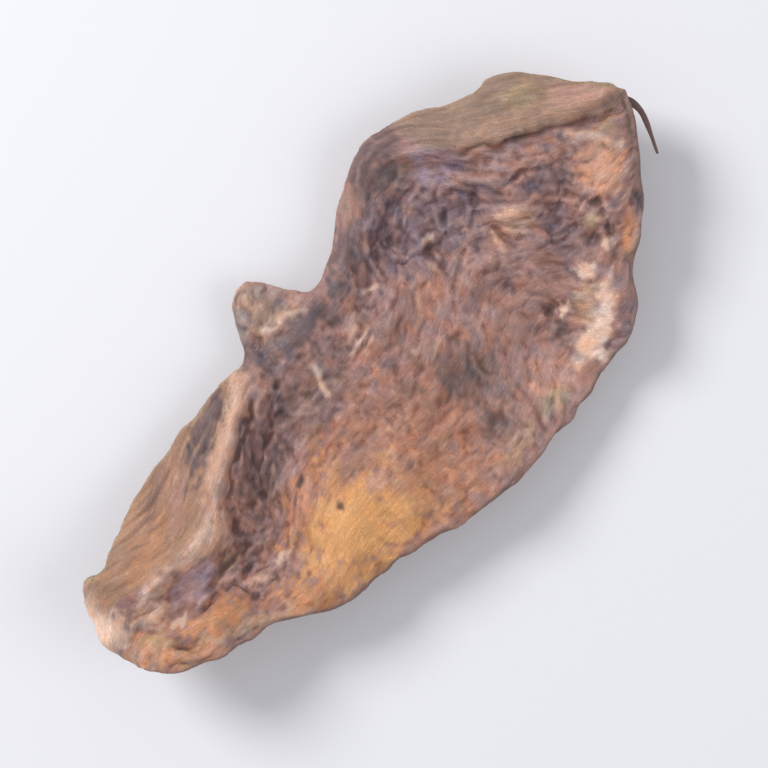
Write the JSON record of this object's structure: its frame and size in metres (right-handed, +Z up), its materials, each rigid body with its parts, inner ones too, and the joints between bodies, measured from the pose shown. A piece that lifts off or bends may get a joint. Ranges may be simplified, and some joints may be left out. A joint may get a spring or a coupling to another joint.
{
  "type": "dried porcini mushroom slice",
  "caption": "Curled dried slice of a mushroom cap: wrinkled cut flesh, thin brown skin along the domed edge, rolled pore layer and a torn stem stub. Lies on small flat spots.",
  "frame": {"origin": "middle of the slice's bounding box in plan, at the surface that it lies on", "axes": "+X along the slice from its narrow rolled tip to its far corner, +Y from the skin of the cap towards the pores, +Z up"},
  "size_m": [0.0638, 0.0298, 0.0102],
  "materials": {
    "dried_mushroom": "dry, wrinkled, matt with a slight waxy sheen; golden brown to mauve brown"
  },
  "bodies": {
    "root": {"porcini_slice": "dried_mushroom"}
  },
  "joints": []
}
